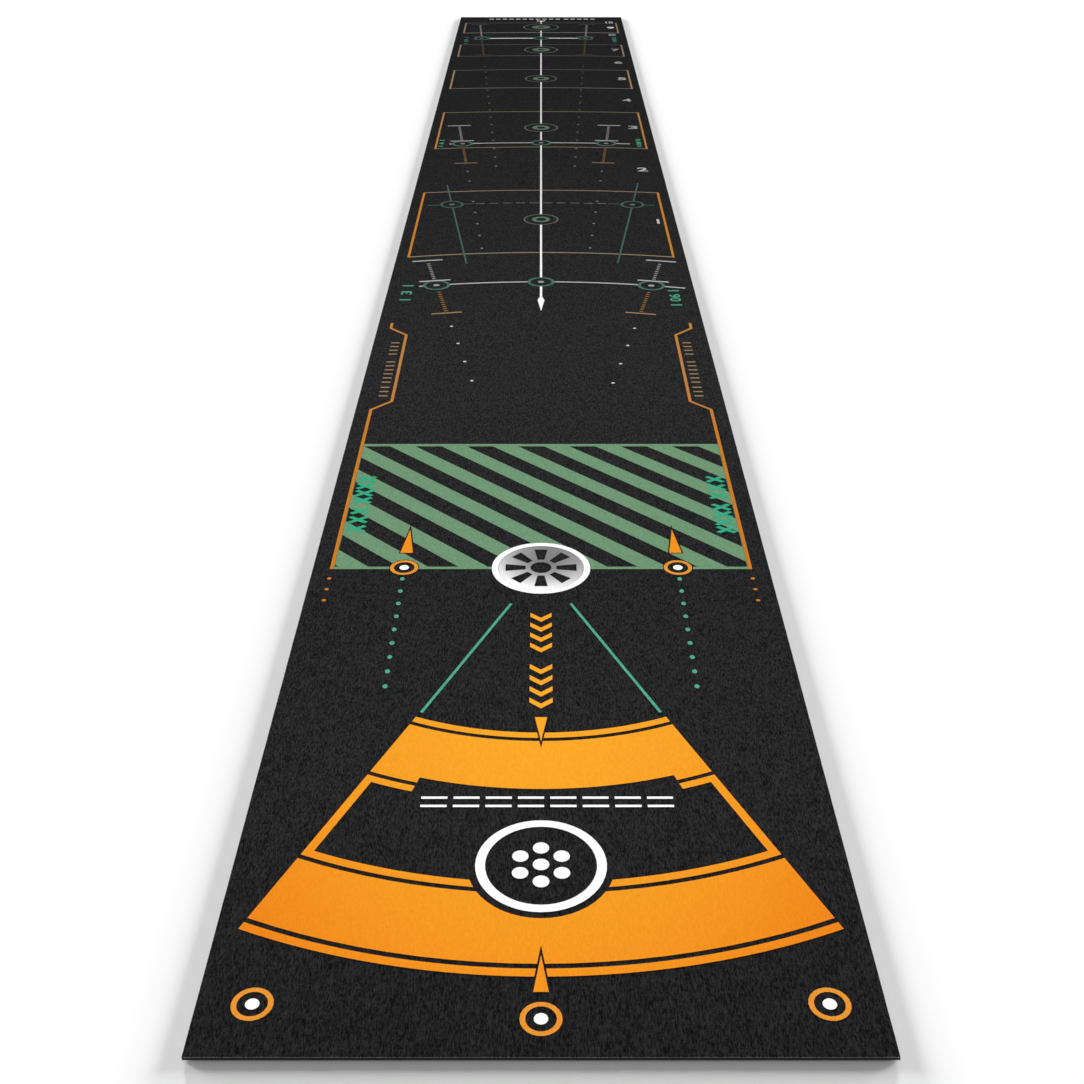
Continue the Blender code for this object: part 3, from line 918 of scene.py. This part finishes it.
def cross(size, stroke):
    """Two crossed bars, drawn as one outline from four arms and a middle."""
    half, thin = size / 2, stroke / 2
    points = []
    for turn in range(4):
        angle = math.radians(45 + 90 * turn)
        out, side = (math.cos(angle), math.sin(angle)), (-math.sin(angle), math.cos(angle))
        points.append((out[0] * half - side[0] * thin, out[1] * half - side[1] * thin))
        points.append((out[0] * half + side[0] * thin, out[1] * half + side[1] * thin))
        root = thin * math.sqrt(2)
        bend = angle + math.pi / 4
        points.append((root * math.cos(bend), root * math.sin(bend)))
    arms = [(3 * i, 3 * i + 1, 3 * i + 2, (3 * i - 1) % 12) for i in range(4)]
    return points, [*arms, (2, 5, 8, 11)]


mark("chevron", chevron(0.022, 0.0170, 0.0075))
mark("cross", stretched(cross(0.0275, 0.0064), 0.70))
mark("tick", block(0, 0, 0.0125, 0.0036))
mark("bar_pair", block(0, 0.0054, 0.0225, 0.0030), block(0, -0.0054, 0.0225, 0.0030))
DIMPLE = 0.0135
mark("dimple", disc(0, 0, DIMPLE, 16))

# %% Set the signs out
for name, start in (("near", 0.4115), ("far", 0.5045)):
    row_of(f"good_line_{name}", "chevron", 4, (0, NEAR_END + start), (0, 0.0185), orange_dye)
CROSS_X, TICK_X = 0.2125, 0.2172
crosses = (
    ("left_near", -CROSS_X, 3, 0.7465, 0.0213), ("left_far", -CROSS_X, 4, 0.8155, 0.0180),
    ("right_near", CROSS_X, 4, 0.7445, 0.0180), ("right_far", CROSS_X, 3, 0.8270, 0.0213),
)
for name, x, count, start, step in crosses:
    row_of(f"bad_ground_{name}", "cross", count, (x, NEAR_END + start), (0, step), sign_teal)
for side, name in ((-1, "left"), (1, "right")):
    for part, count, start in (("near", 3, 1.118), ("mid", 6, 1.165), ("far", 4, 1.267)):
        row_of(f"side_ticks_{name}_{part}", "tick", count,
               (side * TICK_X, NEAR_END + start), (0, 0.0145), bar_orange)
row_of("window_bars", "bar_pair", 8, (-0.0920, NEAR_END + 0.2695), (0.0278, 0), white_dye)
badge = middle("badge_ring")
fan_of("badge_dimples", "dimple", 6, white_dye, (0.0195, 0), (0, 60), (badge.x, badge.y))
printed("badge_dimple_middle", [disc(badge.x, badge.y, DIMPLE, 16)], white_dye)

# %% [markdown]
# ## Stations
#
# Three arcs cross the mat at set distances from the hole. Each has a teal ring in the
# middle and one at either side, to putt from. At the side rings, a ladder of fine rungs
# leads off both ways: orange towards the hole and white away from it. The distances come
# from the breaks in the centre line, so they agree with the frame. All angles are in
# degrees off the middle of the mat, and all reaches are metres from the hole.

# %% Distances of the stations, from the breaks in the centre line
def break_after(number):
    """The distance from the hole to the middle of the gap after one centre line piece."""
    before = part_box(f"centre_line_{number}")[1].y
    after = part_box(f"centre_line_{number + 1}")[0].y
    return (before + after) / 2 - HOLE.y


stations = (
    {"reach": break_after(1), "rings": (-10.8, 0, 11.4), "ends": (-12.6, 14.9),
     "line": 0.0042, "orange": 0.788, "white": (0.939, 1.042)},
    {"reach": break_after(3), "rings": (-5.45, 0, 4.52), "ends": (-6.38, 6.18),
     "line": 0.0042, "orange": 1.653, "white": (1.8355, 1.9725)},
    {"reach": break_after(7), "rings": (-3.3, 0, 2.48), "ends": (-3.8, 2.62),
     "line": 0.0056, "orange": 2.766, "white": (3.026, 3.218)},
)
print("stations at", [round(station["reach"], 3) for station in stations], "m")

# %% Print the stations
RING, RING_STROKE, RING_SPOT = 0.0450, 0.0050, 0.0105
ORANGE_BAR, WHITE_BAR, BAR_STROKE = 0.048, 0.052, 0.0042
RUNG_STEP = 0.0095
mark("rung", block(0, 0, 0.0056, 0.0034))
for number, station in enumerate(stations, 1):
    reach = station["reach"]
    clear = math.degrees(RING / 2 / reach)
    left, centre, right = station["rings"]
    spans = ((station["ends"][0], left - clear), (left + clear, -clear),
             (clear, right - clear), (right + clear, station["ends"][1]))
    arcs = [sweep(reach, station["line"], math.radians(start), math.radians(end))
            for start, end in spans if end - start > 0.1]
    rings = [about_hole(reach, math.radians(angle)) for angle in station["rings"]]
    bars = {"orange": [], "white": []}
    for angle in (left, right):
        turn = math.radians(angle)
        at_bar = about_hole(station["orange"], turn)
        bars["orange"].append(block(*at_bar, ORANGE_BAR, BAR_STROKE, turn))
        for distance in station["white"]:
            at_bar = about_hole(distance, turn)
            bars["white"].append(block(*at_bar, WHITE_BAR, BAR_STROKE, turn))
    printed(f"station_{number}_rings", [ring(x, y, RING, RING_STROKE) for x, y in rings], ring_teal)
    printed(f"station_{number}_spots", [disc(x, y, RING_SPOT, 16) for x, y in rings], spot_white)
    printed(f"station_{number}_arcs", arcs, station_white, HAIR)
    printed(f"station_{number}_white_bars", bars["white"], bar_white, HAIR)
    printed(f"station_{number}_orange_bars", bars["orange"], bar_orange, HAIR)
    for side, angle in (("left", left), ("right", right)):
        runs = (("orange", station["orange"], reach - RING / 2, ladder_orange),
                ("white", station["white"][0], station["white"][1], ladder_white))
        for colour, start, end, dye in runs:
            count = int((end - start) / RUNG_STEP) - 1
            fan_of(f"station_{number}_{colour}_ladder_{side}", "rung", count, dye,
                   (start + RUNG_STEP, RUNG_STEP), (angle, 0), lift=HAIR / 2)

# %% [markdown]
# ## Lines to aim along
#
# Rows of small white dots run from each station towards the hole. Two teal lines with a
# ring on each cross the first zone, joined by a dashed arc.

# %% Dotted lines that fan out from the hole
dotted = (
    ("first_left", 4, 0.519, -10.8), ("first_right", 4, 0.512, 11.38),
    ("second_left", 8, 1.095, -5.45), ("second_right", 8, 1.095, 4.52),
    ("third_left", 15, 1.625, -3.3), ("third_right", 15, 1.625, 2.48),
)
DOT_STEP = 0.0705
for name, count, start, angle in dotted:
    dye = dot_white if name.startswith("first") else spot_white
    fan_of(f"dots_{name}", "small_dot", count, dye, (start, DOT_STEP), (angle, 0))

# %% Teal lines and the dashed arc
AIM_RING, AIM_STROKE, DASH_STROKE = 1.362, 0.0030, 0.0036
TAIL_LEFT, TAIL_RIGHT = 0.018, 0.014
mark("dash", block(0, 0, 0.017, DASH_STROKE))
clear = RING / 2
edge = clear / AIM_RING
aim_rings, aim_lines = [], []
for angle, start, end in ((-7.2, 1.0145, 1.493), (7.4, 1.019, 1.508)):
    turn = math.radians(angle)
    aim_rings.append(about_hole(AIM_RING, turn))
    for low, high in ((start, AIM_RING - clear), (AIM_RING + clear, end)):
        at_middle = about_hole((low + high) / 2, turn)
        aim_lines.append(block(*at_middle, AIM_STROKE, high - low, turn))
    for low, high in ((turn - edge - TAIL_LEFT, turn - edge),
                      (turn + edge, turn + edge + TAIL_RIGHT)):
        aim_lines.append(sweep(AIM_RING, DASH_STROKE, low, high, 4))
printed("aim_rings", [ring(x, y, RING, 0.0042) for x, y in aim_rings], aim_teal)
printed("aim_spots", [disc(x, y, RING_SPOT, 16) for x, y in aim_rings], grey_dye)
printed("aim_lines", aim_lines, aim_teal, HAIR)
for name, first, step in (("left", -0.55, -1.094), ("right", 0.55, 1.094)):
    fan_of(f"dashed_arc_{name}", "dash", 5, grey_dye, (AIM_RING, 0), (first, step))

# %% [markdown]
# ## Numbers
#
# Ten white numbers count the gaps and zones up the right-hand side. Beside each station
# stands its distance, as a plain number between two bars. A number starts as text, is
# turned into mesh, and is stretched to the width and height that it is printed at.

# %% One number as a flat mesh
def number_mesh(text, x, y, width, length, turn, dye):
    """Text turned into a printed figure that fills a given width and length."""
    curve = bpy.data.curves.new("number", "FONT")
    curve.body = text
    curve.extrude = 0.5
    curve.resolution_u = 3
    curve.offset = 0.018
    maker = put("number", curve)
    mesh = plain_mesh(maker)
    bpy.data.objects.remove(maker)
    bpy.data.curves.remove(curve)
    low = [min(v.co[axis] for v in mesh.vertices) for axis in range(3)]
    high = [max(v.co[axis] for v in mesh.vertices) for axis in range(3)]
    sizes = (width, length, INK_TOP - INK_LOW)
    centre = [(a + b) / 2 for a, b in zip(low, high)]
    fit = Matrix.Diagonal([size / (b - a) for size, a, b in zip(sizes, low, high)] + [1])
    place = Matrix.Translation((x, y, (INK_LOW + INK_TOP) / 2))
    mesh.transform(place @ Matrix.Rotation(turn, 4, "Z") @ fit @ Matrix.Translation(
        [-value for value in centre]))
    shape = bmesh.new()
    shape.from_mesh(mesh)
    bmesh.ops.remove_doubles(shape, verts=shape.verts, dist=0.00001)
    bmesh.ops.recalc_face_normals(shape, faces=shape.faces)
    shape.to_mesh(mesh)
    shape.free()
    mesh.materials.clear()
    mesh.materials.append(dye)
    return mesh


def number(name, *given):
    """One number, from what number_mesh takes. The dye comes last."""
    keep(put(name, number_mesh(*given)), given[-1])

# %% The ten numbers up the side
COUNTS_UP = (1.905, 2.257, 2.608, 2.877, 3.117, 3.318, 3.489, 3.71, 3.823, 3.91)
SLIM, BROAD = (0.217, 0.005, 0.027), (0.2095, 0.022, 0.028)
for count, distance in enumerate(COUNTS_UP, 1):
    x, width, length = SLIM if count == 1 else BROAD
    number(f"count_{count}", str(count), x, NEAR_END + distance, width, length, 0.0, count_white)

# %% The distances beside the stations, each between two bars
BAR = 0.005
labels = (
    ("1_left", "3", -0.218, 1.49, 1.56, 0.018), ("1_right", "90", 0.2155, 1.467, 1.537, 0.018),
    ("2_left", "6", -0.2185, 2.440, 2.495, 0.011), ("2_right", "180", 0.2145, 2.440, 2.502, 0.011),
    ("3_left", "10", -0.2165, 3.58, 3.67, 0.012), ("3_right", "300", 0.213, 3.60, 3.672, 0.012),
)
for place, text, x, low, high, tall in labels:
    centre, reach = NEAR_END + (low + high) / 2, high - low
    digits = min(0.66 * reach, 0.0165 * len(text))
    turn = -math.copysign(math.pi / 2, x)
    number(f"distance_{place}_number", text, x, centre, digits, tall, turn, label_teal)
    ends = [block(x, centre + way * (reach - BAR) / 2, tall, BAR) for way in (-1, 1)]
    printed(f"distance_{place}_bars", ends, label_teal)

# %% [markdown]
# ## The far end
#
# The centre line ends in a small notch like an arrow's feathers, and a row of grey
# dashes closes the print.

# %% Feathers and the last row
LAST_ROW, FEATHER_DEPTH = 3.965, 0.018
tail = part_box("centre_line_9")[1].y - FEATHER_DEPTH / 2
points, faces = chevron(0.026, FEATHER_DEPTH, 0.006)
printed("line_feathers", [([(x, tail + y) for x, y in points], faces)], white_dye, HAIR)
mark("short_dash", block(0, 0, 0.0135, 0.0125))
for part, count, start in (("left", 5, -0.153), ("middle", 6, -0.0505), ("right", 5, 0.0775)):
    row_of(f"last_row_{part}", "short_dash", count, (start, NEAR_END + LAST_ROW), (0.0205, 0),
           count_white)
for shape in marks.values():
    bpy.data.objects.remove(shape, do_unlink=True)
print(len(pieces), "pieces added to the frame")

# %% [markdown]
# ## Floor and light
#
# The mat lies on a plain white studio floor. Four broad low lights behind it give the
# soft shadow in front of its near edge and the fainter ones at its sides, and an even
# sky fills in the rest. The two in the middle stand lowest, so the shadow in front is
# the longest.

# %% Floor
pale_floor, _, floor_sockets = new_finish("pale_floor", 1.0, 0.0)
floor_sockets["Base Color"].default_value = (0.9, 0.9, 0.9, 1)
FLOOR_SIDE, FLOOR_LOW, FLOOR_TOP = 40, -0.02, -0.0002
floor = lifted("floor", [block(0, 0, FLOOR_SIDE, FLOOR_SIDE)], FLOOR_LOW, FLOOR_TOP, pale_floor)

# %% Light
def low_light(name, azimuth, elevation, spread, strength):
    """A broad, even light from one direction, like a large softbox far away."""
    lamp = bpy.data.lights.new(name, "SUN")
    lamp.energy = strength
    lamp.angle = math.radians(spread)
    tilt, heading = math.radians(90 - elevation), math.radians(azimuth)
    put(name, lamp).rotation_euler = (tilt, 0, heading)


softboxes = (("back", 18, 2.6, 5, 13.0), ("side", 58, 7.2, 15, 5.8))
for side, way in (("left", 1), ("right", -1)):
    for place, aside, elevation, spread, strength in softboxes:
        low_light(f"softbox_{place}_{side}", 180 + way * aside, elevation, spread, strength)
sky = bpy.data.worlds.new("even_sky")
sky.use_nodes = True
background = sky.node_tree.nodes["Background"].inputs
background["Color"].default_value = (1, 1, 1, 1)
background["Strength"].default_value = 0.3
bpy.context.scene.world = sky
bpy.context.scene.view_settings.view_transform = "Standard"

# %% [markdown]
# ## Joining it to the frame
#
# Nothing on the mat moves by itself, so every piece rides on the one body. The velour
# and the grip stand in for their plain slabs; the velour is cut half a metre by four
# metres and laid flat.

# %% Ride on the frame
for piece, slot in pieces:
    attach(piece, "root")
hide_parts("pile_face")
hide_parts("rubber_underlay")

# %% Sizes of the frame
print("frame", [round(v, 4) for v in (*frame_low, *frame_high)])
